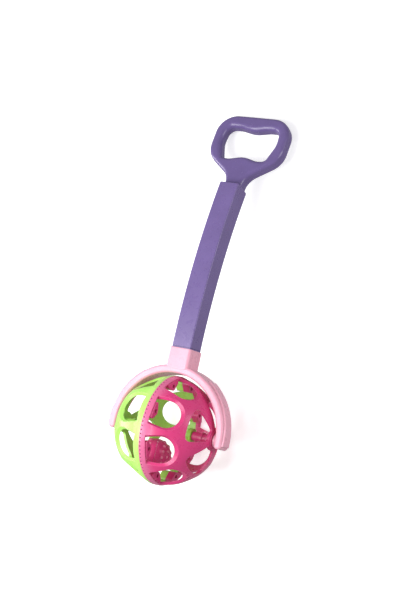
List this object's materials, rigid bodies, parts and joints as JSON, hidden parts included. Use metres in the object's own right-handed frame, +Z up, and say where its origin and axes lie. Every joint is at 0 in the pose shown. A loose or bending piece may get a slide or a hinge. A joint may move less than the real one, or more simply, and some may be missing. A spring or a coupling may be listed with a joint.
{
  "type": "toddler push toy",
  "caption": "Toddler push toy: a windowed two-tone ball with a bumpy rattle ball inside spins in a forked yoke on a bowed stick with a D handle.",
  "frame": {"origin": "centre of the bounding box's base, on the floor that the lying toy rests on", "axes": "+Y along the stick from the ball to the handle, +X along the ball's axle towards the magenta half, +Z up from the floor"},
  "size_m": [0.1558, 0.4534, 0.1274],
  "materials": {
    "purple_plastic": "smooth",
    "pink_plastic": "smooth",
    "green_plastic": "smooth",
    "magenta_plastic": "smooth",
    "pale_pink_plastic": "smooth"
  },
  "bodies": {
    "stick": {"handle": "purple_plastic", "shaft": "purple_plastic", "yoke": "pink_plastic", "axle_pin_right": "green_plastic", "axle_pin_left": "pale_pink_plastic"},
    "cage": {"cage_half_magenta": "magenta_plastic", "cage_half_green": "green_plastic"},
    "rattle_ball": {"rattle_shell_right": "magenta_plastic", "rattle_shell_left": "magenta_plastic"},
    "beads": {"rattle_beads": "green_plastic"}
  },
  "joints": [
    {"name": "cage_spin", "type": "hinge", "parent": "stick", "child": "cage", "pos_m": [0, -0.16302, 0.0637], "axis": [1, 0, 0], "continuous": true},
    {"name": "rattle_orbit", "type": "hinge", "parent": "cage", "child": "rattle_ball", "pos_m": [0, -0.16302, 0.0637], "axis": [1, 0, 0], "continuous": true},
    {"name": "bead_tumble", "type": "hinge", "parent": "rattle_ball", "child": "beads", "pos_m": [-0.01, -0.1931, 0.06488], "axis": [1, 0, 0], "continuous": true}
  ]
}
